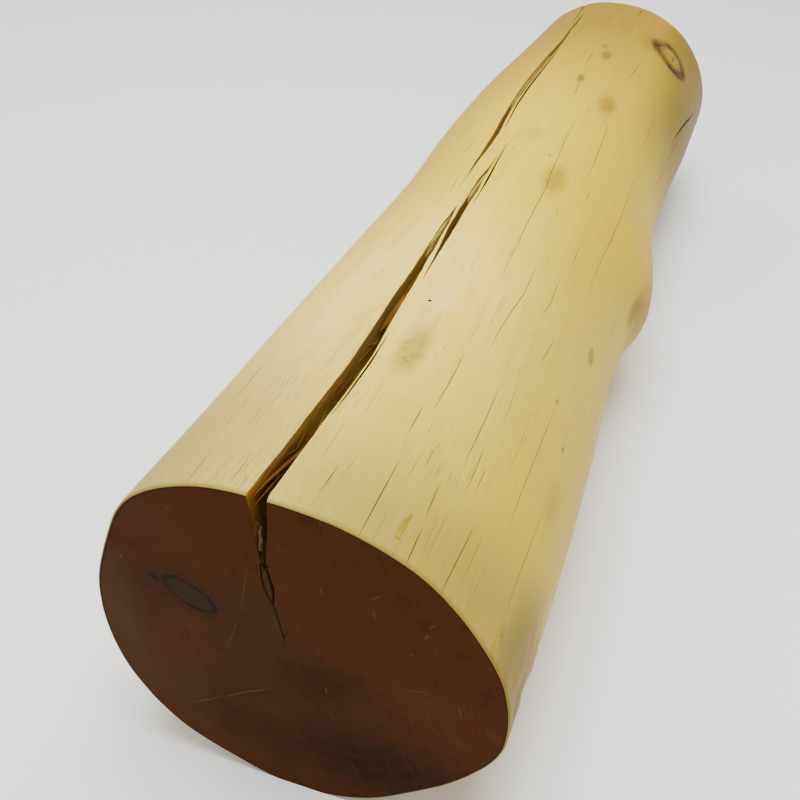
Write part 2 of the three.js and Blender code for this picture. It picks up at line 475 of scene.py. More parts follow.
# Fine checks seen in the sawn butt: x and z in the face from the middle of its foot, and the width
faceChecks = {
    "leftFork": [
        (-6.6, 160, 0.9), (-6.9, 152, 1.1), (-5.6, 143, 1.0), (-2.8, 135.6, 0.9), (-2.2, 132.5, 0.3),
    ],
    "rightFork": [
        (-4.2, 160, 1.1), (-3.4, 153, 1.7), (-2.1, 147, 1.9), (-2.2, 140.5, 1.1), (-2.7, 134.5, 0.9),
        (-0.8, 126.5, 0.8), (0.5, 116, 0.6), (0.9, 108, 0.15),
    ],
    "forkTip": [(2.1, 126, 0.12), (2.8, 119.5, 0.35), (0.9, 114.8, 0.3)],
    "pithCheck": [(15.5, 78.0, 0.12), (15.2, 74.5, 0.3), (15.3, 71.0, 0.12)],
}
faceCheckForm = {
    "pointStep": 1.6,
    "wander": 0.25,
    # how far the cutter goes in, and its share of the width there
    "depths": [(-1.5, 1.0), (0.6, 1.0), (18.4, 0.7), (46, 0.15)],
}


def faceCheckCutter(name, line, material):
    form = faceCheckForm
    line = np.array(line, float)
    spans = np.hypot(*np.diff(line[:, :2], axis=0).T)
    place = np.concatenate([[0], np.cumsum(spans)])
    steps = np.linspace(0, place[-1], max(4, int(place[-1] / form["pointStep"])))
    x, z, width = (np.interp(steps, place, line[:, item]) for item in range(3))
    x = x + form["wander"] * noiseAt(steps / 3, 0, 0, 31)
    heading = np.stack([np.gradient(x), np.gradient(z)], -1)
    heading /= np.linalg.norm(heading, axis=1)[:, None]
    normal = np.stack([heading[:, 1], -heading[:, 0]], -1)
    rings = []
    for deep, share in form["depths"]:
        half = normal * (width * share / 2)[:, None]
        outline = np.concatenate([np.stack([x, z], -1) + half, (np.stack([x, z], -1) - half)[::-1]])
        face = np.full(len(outline), deep - logForm["length"] / 2)
        rings.append(np.stack([outline[:, 0], face, outline[:, 1]], -1) * millimetre + logShift)
    vertices, faces = loftRings(rings, False)
    count = len(rings[0])
    for ring, flip in ((0, False), (len(rings) - 1, True)):
        for step in range(count // 2 - 1):
            corners = (step, step + 1, count - 2 - step, count - 1 - step)
            corners = [ring * count + corner for corner in corners]
            faces.append(corners if flip else corners[::-1])
    return meshObject(name, vertices, faces, [material])


# Hairline checks read off the skin, each a list of clock and along
hairlines = {
    "longMiddle": [(18.3, 460), (18.2, 428), (17.9, 407), (18.1, 377), (18.7, 350), (19.7, 335), (20.4, 305),
                   (21.4, 258), (21.7, 208)],
    "middleButt": [(22.4, 139), (22.5, 108), (22.5, 87)],
    "buttRim": [(21.2, 50), (21.7, 23), (22.1, 0)],
    "besideMiddle": [(19.6, 87), (19.7, 66)],
    "longRight": [(57.2, 454), (54.4, 415), (53.0, 380), (52.7, 356), (53.3, 330), (52.9, 310), (53.3, 290),
                  (53.4, 261)],
    "innerLong": [(30.7, 247), (30.5, 211), (29.2, 190), (28.3, 167), (28.2, 148)],
    "innerShort": [(40.1, 250), (39.9, 220), (38.7, 205)],
    "lowerInner": [(35.2, 130), (35.5, 107), (35.5, 75), (35.9, 64)],
    "lowerA": [(38.5, 85), (39.0, 54)],
    "lowerB": [(41.1, 75), (41.3, 59)],
    "lowerC": [(32.4, 49), (33.2, 27)],
    "rimA": [(33.6, 22), (34.1, 0)],
    "rimB": [(44.8, 43), (44.3, 0)],
    "lowerD": [(54.8, 156), (54.4, 128), (53.9, 97), (54.1, 76), (54.3, 59)],
    "chipLine": [(64.0, 92), (63.9, 65), (63.9, 49), (63.9, 32), (64.4, 22)],
    "upperInner": [(32.3, 475), (33.1, 452), (33.3, 430), (33.1, 405), (33.0, 390), (32.7, 373)],
    "upperShort": [(35.6, 361), (35.7, 345)],
    "sideShort": [(72.8, 297), (73.3, 281), (73.2, 264)],
    "dotLine": [(28.2, 319), (28.5, 308)],
    "middleShort": [(41.6, 301), (42.3, 274)],
    "leaning": [(44.0, 166), (45.7, 195)],
    "farInner": [(30.3, 595), (30.6, 581), (30.4, 562)],
    "farRight": [(52.5, 556), (53.4, 541), (53.5, 519), (53.8, 484)],
    "farMiddle": [(6.9, 583), (7.5, 548)],
    "farLeft": [(-10.0, 604), (-10.0, 663)],
    "rimC": [(9.4, 32), (9.3, 13)],
    "leftFaint": [(-29.8, 119), (-28.7, 57)],
    "leftRim": [(-21.3, 23), (-20.8, 0)],
    "lipRim": [(-10.8, 21), (-10.7, 5)],
    "besideUpper": [(-18.9, 383), (-19.3, 365)],
    "upperTailA": [(-13.7, 321), (-12.9, 301)],
    "upperTailB": [(-5.6, 383), (-5.3, 396)],
    "tailThree": [(-0.2, 379), (-0.8, 368)],
    "eyeLine": [(10.3, 516), (11.4, 500), (12.5, 483)],
    "rightTail": [(73.0, 556), (75.2, 545), (74.8, 520), (74.3, 497), (71.5, 462), (70.4, 451)],
    "rightTwin": [(77.5, 548), (77.0, 520), (75.5, 500)],
}

# Fainter hairlines
faintLines = {
    "upperFaint": [(23.0, 175), (22.0, 155), (22.5, 141)],
    "rightFaint": [(63.8, 201), (64.2, 179), (64.2, 157)],
    "stumpFaint": [(73.2, 308), (73.5, 298)],
    "besideStump": [(73.4, 262), (73.1, 244)],
    "innerFaint": [(31.2, 262), (31.2, 249)],
    "lowerFaint": [(28.2, 73), (27.2, 63), (27.5, 48)],
    "rimFaint": [(37.3, 36), (37.5, 25), (37.5, 8)],
    "rimFaintRight": [(48.0, 46), (48.2, 31), (47.9, 12)],
    "middleFaint": [(40.0, 142), (40.2, 121), (40.7, 105)],
    "dotFaint": [(61.3, 161), (63.0, 148), (64.1, 139)],
    "joiningFaint": [(19.8, 65), (20.6, 53)],
    "sideFaint": [(47.5, 132), (47.7, 104), (47.6, 84)],
    "nearLip": [(4.6, 62), (4.9, 30)],
    "nearLipLow": [(7.2, 98), (7.4, 66)],
    "leftNear": [(-16.2, 92), (-15.6, 48)],
    "leftNearLow": [(-24.6, 74), (-23.8, 30)],
}

fineChecks = {
    "halfWidth": 0.20,
    "halfDepth": 1.1,
    "pointStep": 5.0,
    "wander": 0.10,
    "faintWidth": 0.45,  # share of a named check's width
    "scattered": 260,
    "scatterSeed": 23,
    "scatterWidth": 0.30,
    "reach": (7, 34),
    "lean": 0.5,
    "nearEnds": 0.62,  # the share of them that starts near one of the ends
    "nearTop": 0.42,  # and of these, the share at the top end
    "endReach": 110,
    "endCrowd": (0.8, 4.2),  # how they crowd towards an end
    "openEnds": (20, 60),  # what the others leave free at the butt and at the top
    "rimGap": 0.5,
    "widthSpread": (0.6, 1.25),
    "leastTaper": 0.12,
    "taperPower": 0.6,
    "apart": 1.1,  # degrees between two of them
    "besideNamed": 0.9,
    "clearance": 3,
}


def besideHairline(clock, start, stop):
    margin = fineChecks["clearance"]
    for line in [*hairlines.values(), *faintLines.values()]:
        alongs, clocks = zip(*sorted((along, place) for place, along in line))
        for along in np.linspace(start, stop, 5):
            inside = alongs[0] - margin < along < alongs[-1] + margin
            gap = abs(turnFrom(clock, np.interp(along, alongs, clocks)))
            if inside and gap < fineChecks["besideNamed"]:
                return True
    return False


def scatteredChecks(random):
    # short checks all round the log, more of them near its ends, each as clock, start and stop
    form = fineChecks
    length = logForm["length"]
    margin = form["clearance"]
    taken = []
    while len(taken) < form["scattered"]:
        clock = random.uniform(-180, 180)
        reach = random.uniform(*form["reach"])
        nearEnd = random.random() < form["nearEnds"]
        if nearEnd:
            start = random.beta(*form["endCrowd"]) * form["endReach"]
        else:
            start = random.uniform(form["openEnds"][0], length - form["openEnds"][1])
        if nearEnd and random.random() < form["nearTop"]:
            start = length - start - reach
        start = min(max(start, form["rimGap"]), length - reach - form["rimGap"])
        stop = start + reach
        crowded = any(
            abs(turnFrom(clock, place)) < form["apart"] and start < last + margin and stop > first - margin
            for place, first, last in taken
        )
        if crowded or besideHairline(clock, start, stop):
            continue
        taken.append((clock, start, stop))
        lean = random.uniform(-form["lean"], form["lean"])
        width = form["scatterWidth"] * random.uniform(*form["widthSpread"])
        yield [clock, clock + lean], [start, stop], width


def checkLines():
    # the named hairlines, then the scattered ones, each as clocks, alongs and width
    for group, width in ((hairlines, 1.0), (faintLines, fineChecks["faintWidth"])):
        for line in group.values():
            yield *zip(*line), width
    yield from scatteredChecks(np.random.default_rng(fineChecks["scatterSeed"]))


def guideLines(name, lines):
    # bare edges with a width at every point, for a tree to grow on
    vertices = []
    edges = []
    widths = []
    for spots, width in lines:
        edges.extend((len(vertices) + step, len(vertices) + step + 1) for step in range(len(spots) - 1))
        vertices.extend(tuple(spot) for spot in spots)
        widths.extend([width] * len(spots))
    mesh = bpy.data.meshes.new(name)
    mesh.from_pydata(vertices, edges, [])
    mesh.attributes.new("openness", "FLOAT", "POINT").data.foreach_set("value", widths)
    return linked(name, mesh)


def checkSpots(clocks, alongs):
    alongs = np.array(alongs, float)
    order = np.argsort(alongs)
    count = max(2, int(np.ptp(alongs) / fineChecks["pointStep"]))
    along = np.linspace(alongs.min(), alongs.max(), count + 1)
    clock = np.interp(along, alongs[order], np.array(clocks, float)[order])
    clock = clock + fineChecks["wander"] * noiseAt(along / 16, clock, 0, 41)
    along = np.where(along < 1, -1.5, along)  # a check that meets the butt runs out of it
    inside = np.clip(along, 0, None)
    spots = placeOnLog(clock, inside, finishedRadius(clock, inside))
    spots[:, 1] = along * millimetre - logForm["length"] / 2 * millimetre
    return spots


def newTree(name, inputs):
    tree = bpy.data.node_groups.new(name, "GeometryNodeTree")
    tree.interface.new_socket("Geometry", in_out="INPUT", socket_type="NodeSocketGeometry")
    for label, kind in inputs:
        tree.interface.new_socket(label, in_out="INPUT", socket_type=kind)
    tree.interface.new_socket("Geometry", in_out="OUTPUT", socket_type="NodeSocketGeometry")
    return tree, tree.nodes.new("NodeGroupInput"), tree.nodes.new("NodeGroupOutput")


def feed(tree, socket, value):
    # a socket is linked to another one, or set to a number, a colour or a vector
    if isinstance(value, bpy.types.NodeSocket):
        tree.links.new(value, socket)
    elif socket.type == "RGBA" and len(value) == 3:
        socket.default_value = (*value, 1)
    else:
        socket.default_value = value


def addNode(tree, kind, feeds, **settings):
    node = tree.nodes.new(kind)
    for name, value in settings.items():
        setattr(node, name, value)
    for label, value in feeds.items():
        feed(tree, node.inputs[label], value)
    return node


def mathsNode(tree, operation, *values):
    return addNode(tree, "ShaderNodeMath", dict(enumerate(values)), operation=operation).outputs[0]


def socketOf(tree, label):
    return next(item.identifier for item in tree.interface.items_tree
                if item.name == label and item.in_out == "INPUT")


def taperSocket(tree, least, power):
    # rises from the start of the spline and falls to its end
    place = addNode(tree, "GeometryNodeSplineParameter", {}).outputs["Factor"]
    product = mathsNode(tree, "MULTIPLY", place, mathsNode(tree, "SUBTRACT", 1, place))
    hump = mathsNode(tree, "POWER", mathsNode(tree, "MULTIPLY", product, 4), power)
    return mathsNode(tree, "MAXIMUM", hump, least)


def checkTree():
    # a thin closed wedge along every guide line, standing across the skin
    tree, inputs, output = newTree("fineCheckTree", [
        ("Half Width", "NodeSocketFloat"), ("Depth", "NodeSocketFloat"), ("Material", "NodeSocketMaterial"),
    ])
    given = inputs.outputs
    curve = addNode(tree, "GeometryNodeMeshToCurve", {"Mesh": given["Geometry"]})
    position = addNode(tree, "GeometryNodeInputPosition", {})
    pith = (0, 0, -logForm["girth"][4] * millimetre)
    outwards = addNode(tree, "ShaderNodeVectorMath", {
        0: position.outputs[0], 1: (1, 0, 1), 2: pith,
    }, operation="MULTIPLY_ADD")
    stand = addNode(tree, "GeometryNodeSetCurveNormal", {
        "Curve": curve.outputs["Curve"], "Normal": outwards.outputs[0],
    }, mode="FREE")
    profile = addNode(tree, "GeometryNodeCurvePrimitiveQuadrilateral", {
        "Width": given["Depth"], "Top Height": given["Half Width"], "Bottom Height": given["Half Width"],
    }, mode="KITE")
    openness = addNode(tree, "GeometryNodeInputNamedAttribute", {"Name": "openness"}, data_type="FLOAT")
    taper = taperSocket(tree, fineChecks["leastTaper"], fineChecks["taperPower"])
    skin = addNode(tree, "GeometryNodeCurveToMesh", {
        "Curve": stand.outputs["Curve"],
        "Profile Curve": profile.outputs["Curve"],
        "Scale": mathsNode(tree, "MULTIPLY", openness.outputs["Attribute"], taper),
        "Fill Caps": True,
    })
    real = addNode(tree, "GeometryNodeRealizeInstances", {"Geometry": skin.outputs["Mesh"]})
    finish = addNode(tree, "GeometryNodeSetMaterial", {
        "Geometry": real.outputs["Geometry"], "Material": given["Material"],
    })
    feed(tree, output.inputs["Geometry"], finish.outputs["Geometry"])
    return tree


def grownMesh(guide, tree, values, name):
    # run a tree on a guide, keep what it grows as a plain mesh object, and drop the guide
    modifier = guide.modifiers.new("grow", "NODES")
    modifier.node_group = tree
    for label, value in values.items():
        modifier[socketOf(tree, label)] = value
    bpy.context.view_layer.update()
    evaluated = guide.evaluated_get(bpy.context.evaluated_depsgraph_get())
    mesh = bpy.data.meshes.new_from_object(evaluated)
    guide.modifiers.remove(modifier)
    bpy.data.objects.remove(guide)
    return linked(name, mesh)


def threeSided(thing, outwards=False):
    # plain triangles keep the cutting quick and exact
    shape = bmesh.new()
    shape.from_mesh(thing.data)
    if outwards:
        bmesh.ops.recalc_face_normals(shape, faces=shape.faces)
    bmesh.ops.triangulate(shape, faces=shape.faces)
    shape.to_mesh(thing.data)
    shape.free()


def cutAway(wood, cutters, name):
    threeSided(wood)
    for cutter in cutters:
        threeSided(cutter, True)
    collection = bpy.data.collections.new(name)
    bpy.context.scene.collection.children.link(collection)
    for cutter in cutters:
        bpy.context.scene.collection.objects.unlink(cutter)
        collection.objects.link(cutter)
    modifier = wood.modifiers.new(name, "BOOLEAN")
    modifier.operation = "DIFFERENCE"
    modifier.solver = "MANIFOLD"
    modifier.material_mode = "TRANSFER"
    modifier.operand_type = "COLLECTION"
    modifier.collection = collection
    evaluated = wood.evaluated_get(bpy.context.evaluated_depsgraph_get())
    mesh = bpy.data.meshes.new_from_object(evaluated)
    wood.modifiers.remove(modifier)
    wood.data = mesh
    for cutter in cutters:
        bpy.data.objects.remove(cutter)
    bpy.data.collections.remove(collection)
    print(name, "cut,", len(mesh.polygons), "faces")


bumpDepth = 0.4 * millimetre


class Paint:
    # a short way of writing one material's nodes; colour is what has been laid so far
    def __init__(self, name, tones):
        self.tones = tones
        self.colour = None
        self.material = bpy.data.materials.new(name)
        self.material.use_nodes = True
        self.tree = self.material.node_tree
        self.shader = self.tree.nodes["Principled BSDF"]
        self.shader.inputs["Roughness"].default_value = tones["roughness"]
        self.shader.inputs["Specular IOR Level"].default_value = tones["gloss"]
        self.spot = self.add("ShaderNodeTexCoord", {}).outputs["Object"]

    def add(self, kind, feeds, **settings):
        return addNode(self.tree, kind, feeds, **settings)

    def vector(self, operation, *values):
        return self.add("ShaderNodeVectorMath", dict(enumerate(values)), operation=operation)

    def times(self, *values):
        total = values[0]
        for value in values[1:]:
            total = mathsNode(self.tree, "MULTIPLY", total, value)
        return total

    def plus(self, first, second):
        return mathsNode(self.tree, "ADD", first, second)

    def sine(self, value):
        return mathsNode(self.tree, "SINE", value)

    def offFrom(self, value, target):
        return mathsNode(self.tree, "ABSOLUTE", mathsNode(self.tree, "SUBTRACT", value, target))

    def ramp(self, value, low, high, most=1.0, least=0.0):
        feeds = dict(enumerate((value, low, high, least, most)))
        return self.add("ShaderNodeMapRange", feeds, interpolation_type="SMOOTHSTEP").outputs[0]

    def mix(self, share, low, high):
        return self.add("ShaderNodeMix", {0: share, 6: low, 7: high}, data_type="RGBA").outputs[2]

    def start(self, share, low, high):
        self.colour = self.mix(share, self.tones[low], self.tones[high])

    def lay(self, tone, share, *span):
        # a tone over the colour so far, by a share or by a value ramped from low to high up to a strength
        share = self.ramp(share, *span) if span else share
        self.colour = self.mix(share, self.colour, self.tones[tone] if isinstance(tone, str) else tone)

    def stretched(self, *factors, spot=None):
        return self.vector("MULTIPLY", spot or self.spot, factors).outputs[0]

    def noise(self, spot, scale, detail=2.0, rough=0.5, swirl=0.0):
        feeds = {"Vector": spot, "Scale": scale, "Detail": detail, "Roughness": rough, "Distortion": swirl}
        return self.add("ShaderNodeTexNoise", feeds).outputs["Fac"]

    def part(self, axis):
        return self.add("ShaderNodeSeparateXYZ", {0: self.spot}).outputs[axis]

    def within(self, middle, turn, halves, spot=None):
        # the place measured from a patch's middle in half sizes: across, along, out
        turned = (0, math.radians(turn), 0)
        feeds = {"Vector": spot or self.spot, "Location": middle, "Rotation": turned, "Scale": halves}
        return self.add("ShaderNodeMapping", feeds, vector_type="TEXTURE").outputs[0]

    def length(self, vector):
        return self.vector("LENGTH", vector).outputs["Value"]

    def reach(self, middle, turn, halves, spot):
        # 0 in the middle of a patch and 1 at its edge
        return self.length(self.within(middle, turn, halves, spot))

    def shaken(self, scale, amount):
        # the place moved about by a little noise
        cloud = self.add("ShaderNodeTexNoise", {"Vector": self.spot, "Scale": scale, "Detail": 2})
        shift = self.vector("SUBTRACT", cloud.outputs["Color"], (0.5, 0.5, 0.5))
        return self.vector("MULTIPLY_ADD", shift.outputs[0], (amount, amount, amount), self.spot).outputs[0]

    def depth(self):
        return self.add("ShaderNodeAttribute", {}, attribute_name="woodDepth").outputs["Fac"]

    def finish(self, height=None, strength=0.2):
        feed(self.tree, self.shader.inputs["Base Color"], self.colour)
        if height is not None:
            bump = self.add("ShaderNodeBump", {"Strength": strength, "Distance": bumpDepth, "Height": height})
            feed(self.tree, self.shader.inputs["Normal"], bump.outputs[0])
        return self.material


sapwoodTones = {
    "cream": (0.94, 0.720, 0.155),
    "straw": (0.87, 0.625, 0.075),
    "pale": (0.85, 0.69, 0.24),
    # painted shade for the right flank and the lower skin
    "paintedSideShade": (0.545, 0.350, 0.000),
    "middleTan": (0.80, 0.530, 0.012),
    "farTan": (0.305, 0.176, 0.000),
    "farLeft": (0.41, 0.258, 0.008),
    "endTan": (0.31, 0.170, 0.001),
    # painted shade for the right flank towards the top end
    "paintedEdgeShade": (0.200, 0.125, 0.000),
    "buttGrey": (0.360, 0.262, 0.050),
    "olive": (0.44, 0.31, 0.045),
    "grainLine": (0.34, 0.21, 0.035),
    "rimTan": (0.26, 0.17, 0.02),
    "nearRim": (0.355, 0.250, 0.036),
    "roughness": 0.5,
    "gloss": 0.12,
}

knotTones = {
    "halo": (0.27, 0.155, 0.004),
    "ring": (0.060, 0.025, 0.000),
    "core": (0.34, 0.19, 0.014),
    "thickness": 18,
}

# Soft stains and patches of painted shade on the skin: clock, along, half width, half length, colour,
# strength
stainsAndShade = {
    "orange": (66.6, 102, 8, 17, (0.45, 0.275, 0.000), 0.6),
    "rightBrown": (75.2, 596, 3.6, 60, (0.17, 0.098, 0.000), 0.75),
    "rightShade": (77.0, 655, 6, 26, (0.29, 0.180, 0.000), 0.45),
    "stumpBrown": (84.0, 334, 8, 18, (0.22, 0.112, 0.003), 0.7),
    # painted shade on the right flank by the butt, against the floor's bounced light
    "flankLow": (92.0, 20, 15, 34, (0.170, 0.105, 0.002), 0.7),
    "endShade": (48.0, 700, 30, 36, (0.225, 0.137, 0.001), 0.7),
    "flankShade": (78.0, 10, 26, 52, (0.225, 0.143, 0.002), 0.9),
    "leftEdge": (-52.0, 352, 10, 30, (0.43, 0.272, 0.020), 0.35),
    "middleOlive": (4.5, 404, 9, 15, (0.50, 0.349, 0.022), 0.4),
    "knotSwirl": (29.0, 668, 13, 8, (0.40, 0.262, 0.006), 0.5),
    "knotShade": (37.0, 622, 13, 22, (0.45, 0.302, 0.002), 0.5),
    "buttOlive": (18.0, 62, 22, 42, (0.50, 0.369, 0.031), 0.35),
    "sideDot": (63.8, 136, 1.6, 3.0, (0.19, 0.097, 0.007), 0.8),
    "lowDot": (54.8, 158, 1.4, 2.2, (0.19, 0.097, 0.007), 0.7),
    "eyeDot": (14.7, 379, 1.6, 2.6, (0.29, 0.175, 0.011), 0.6),
    "speckA": (8.2, 114.5, 0.9, 1.6, (0.24, 0.155, 0.011), 0.7),
    "speckB": (9.6, 113, 0.9, 1.4, (0.24, 0.155, 0.011), 0.7),
    "speckC": (10.3, 117.5, 0.7, 1.2, (0.24, 0.155, 0.011), 0.6),
    "knotMark": (44.6, 653, 1.0, 7.5, (0.06, 0.029, 0.002), 0.9),
    "knotCorner": (51.5, 645, 3.4, 4.5, (0.07, 0.034, 0.002), 0.75),
    "holePale": (11.0, 170, 10, 7, (0.84, 0.69, 0.28), 0.3),
}


stainAndShadeThickness = 16


def skinSpot(clock, along):
    return tuple(placeOnLog(np.array(float(clock)), np.array(float(along)), skinRadius(clock, along)))


def paintSapwood():
    paint = Paint("sapwood", sapwoodTones)
    drawn = paint.stretched(1, 0.3, 1)
    x, y, z = (paint.part(axis) for axis in range(3))
    broad = paint.noise(drawn, 16, 3, 0.55)
    paint.start(paint.ramp(broad, 0.38, 0.62), "cream", "straw")
    patches = paint.noise(drawn, 33, 3, 0.6, 0.4)
    paint.lay("pale", patches, 0.55, 0.75, 0.6)
    paint.lay("olive", patches, 0.42, 0.28, 0.3)
    # browner from the butt to the top end
    paint.lay("middleTan", y, -0.185, -0.01, 0.9)
    paint.lay("farTan", y, 0.04, 0.33, 0.92)
    paint.lay("farLeft", paint.times(paint.ramp(y, -0.20, 0.04), paint.ramp(x, -0.01, -0.08, 0.55)))
    paint.lay("endTan", y, 0.322, 0.358, 0.5)
    # greyer at the left of the butt; painted shade darkens both flanks and the skin low down
    buttLeft = paint.times(paint.ramp(y, -0.17, -0.345), paint.ramp(x, 0.04, -0.07, 1.0, 0.25))
    paint.lay("buttGrey", paint.times(buttLeft, 0.9))
    paint.lay("paintedSideShade", x, 0.0, 0.088, 0.85)
    # painted shade: the left flank darkened with the olive tone
    paint.lay("olive", x, -0.04, -0.098, 0.45)
    buttRight = paint.times(paint.ramp(y, -0.285, -0.345), paint.ramp(x, -0.03, 0.03))
    paint.lay("nearRim", paint.times(buttRight, 0.85))
    # painted shade: darker low down, towards the floor
    paint.lay("paintedSideShade", paint.times(paint.ramp(z, 0.10, 0.02), 0.35))
    # the grain: broad streaks, then fine dark lines
    streaks = paint.noise(paint.stretched(1, 0.055, 1), 230, 3, 0.6)
    paint.lay("olive", streaks, 0.52, 0.72, 0.34)
    paint.lay("pale", streaks, 0.44, 0.28, 0.05)
    lines = paint.noise(paint.stretched(1, 0.008, 1), 1900, 2, 0.6)
    lineArea = paint.noise(drawn, 45, 2, 0.5)
    lineShare = paint.times(paint.ramp(lines, 0.56, 0.67), paint.ramp(lineArea, 0.38, 0.62, 0.75, 0.22))
    paint.lay("grainLine", paint.times(lineShare, paint.ramp(y, -0.17, -0.33, 1.0, 0.5)))
    # painted shade: the right flank darkened towards the top end, where the light grazes it
    paint.lay("paintedEdgeShade", paint.times(paint.ramp(x, 0.046, 0.080), paint.ramp(y, 0.08, 0.24), 0.92))
    shaken = paint.shaken(160, 0.0035)
    for clock, along, halfWidth, halfLength, _, _, halo, ring, core in knots.values():
        halves = (halfWidth * millimetre, halfLength * millimetre, knotTones["thickness"] * millimetre)
        reach = paint.reach(skinSpot(clock, along), clock, halves, shaken)
        uneven = paint.ramp(paint.noise(paint.spot, 210, 2, 0.6), 0.35, 0.58, 1.0, 0.75)
        paint.lay(knotTones["halo"], paint.times(paint.ramp(reach, 2.5, 0.8, halo), uneven))
        paint.lay(knotTones["core"], reach, 1.0, 0.55, core)
        edge = paint.ramp(paint.offFrom(reach, 1.0), 0.44, 0.12, ring)
        paint.lay(knotTones["ring"], paint.times(edge, uneven))
        paint.lay(knotTones["ring"], paint.offFrom(reach, 0.62), 0.09, 0.02, ring * 0.35)
    # the stains, and the patches of painted shade
    for clock, along, halfWidth, halfLength, tone, strength in stainsAndShade.values():
        halves = (halfWidth * millimetre, halfLength * millimetre, stainAndShadeThickness * millimetre)
        reach = paint.reach(skinSpot(clock, along), clock, halves, shaken)
        paint.lay(tone, reach, 1.25, 0.35, strength)
    rim = paint.ramp(mathsNode(paint.tree, "ABSOLUTE", y), 0.3570, 0.3597)
    paint.lay("rimTan", paint.times(rim, 0.6))
    return paint.finish(paint.plus(paint.times(streaks, 0.8), paint.times(lines, 0.5)), 0.22)


sawnTones = {
    "brown": (0.058, 0.0160, 0.0010),
    "deep": (0.0185, 0.0064, 0.0010),
    "olive": (0.044, 0.0175, 0.0010),
    "red": (0.064, 0.0145, 0.0012),
    "grey": (0.062, 0.032, 0.011),
    "rimLine": (0.018, 0.011, 0.003),
    "scratch": (0.14, 0.075, 0.03),
    "knotRing": (0.0085, 0.0080, 0.0045),
    "knotCore": (0.027, 0.0140, 0.0042),
    "knotHalo": (0.040, 0.0105, 0.0050),
    "pith": (18.0, 93.4),
    "roughness": 0.56,
    "gloss": 0.03,
}

# Broad patches on the butt: x and z in the face, half sizes, tilt, tone, strength
sawnPatches = {
    "oliveMiddle": (-22, 116, 30, 34, 10, "olive", 0.9),
    "oliveLow": (-8, 78, 38, 20, 0, "olive", 0.6),
    "redTop": (-34, 168, 42, 22, -12, "red", 0.8),
    "redKnot": (-70, 120, 18, 22, 0, "knotHalo", 0.6),
    "redRight": (40, 140, 40, 30, 20, "red", 0.75),
    "redMark": (-19, 118, 7, 8, 0, "knotHalo", 0.5),
    "deepWide": (8, 52, 84, 36, 0, "deep", 0.38),
    "deepLow": (46, 38, 52, 30, 0, "deep", 0.95),
    "deepPith": (16, 90, 26, 18, 0, "deep", 0.6),
    "deepLeft": (-26, 42, 40, 18, 30, "deep", 0.45),
    "greyLeft": (-88, 112, 16, 60, -8, "grey", 0.6),
    "greyLowLeft": (-62, 58, 26, 26, 40, "grey", 0.30),
    "greyRight": (66, 98, 16, 14, 0, "grey", 0.30),
    "greyTop": (-62, 172, 22, 12, 30, "grey", 0.35),
}

# Pale scratches on the butt: start and end in the face, strength
sawnScratches = {
    "long": ((-56, 41.5), (-31.5, 59.4), 0.35),
    "middle": ((-31.5, 59.4), (-6.5, 76.4), 0.45),
    "sawStepTop": ((-12.2, 160.3), (-19.7, 122.4), 0.22),
    "sawStepLow": ((-19.7, 122.4), (-30.3, 93.7), 0.22),
    "high": ((43, 151), (45, 145), 0.4),
    "right": ((57, 104), (70, 107), 0.3),
    "second": ((-34.4, 57.0), (-25.1, 63.1), 0.35),
    "fleckA": ((20.2, 156.0), (20.9, 151.3), 0.45),
    "fleckB": ((41.7, 156.1), (47.8, 161.3), 0.40),
    "fleckC": ((66.8, 148.3), (70.9, 152.7), 0.40),
    "fleckD": ((65.7, 141.1), (67.6, 145.0), 0.50),
    "fleckE": ((19.4, 88.8), (20.0, 84.1), 0.55),
    "fleckF": ((59.3, 130.0), (61.2, 128.7), 0.55),
    "fleckG": ((-77.3, 140.6), (-76.7, 137.6), 0.60),
    "fleckH": ((-48.4, 179.7), (-46.4, 177.7), 0.35),
    "fleckI": ((81.5, 103.2), (83.2, 96.3), 0.40),
}

sawnKnot = {
    "middle": (-44.2, 126.2),
    "tilt": 29,
    "halves": (13.4, 7.0),
    "tail": (-61.5, 131.5),
    "tailHalves": (4.5, 1.5),
}
scratchHalfWidth = 0.45


def facePlace(x, z):
    return (x * millimetre + logShift[0], -logForm["length"] / 2 * millimetre, z * millimetre)


def faceHalves(x, z):
    return (x * millimetre, 0.05, z * millimetre)


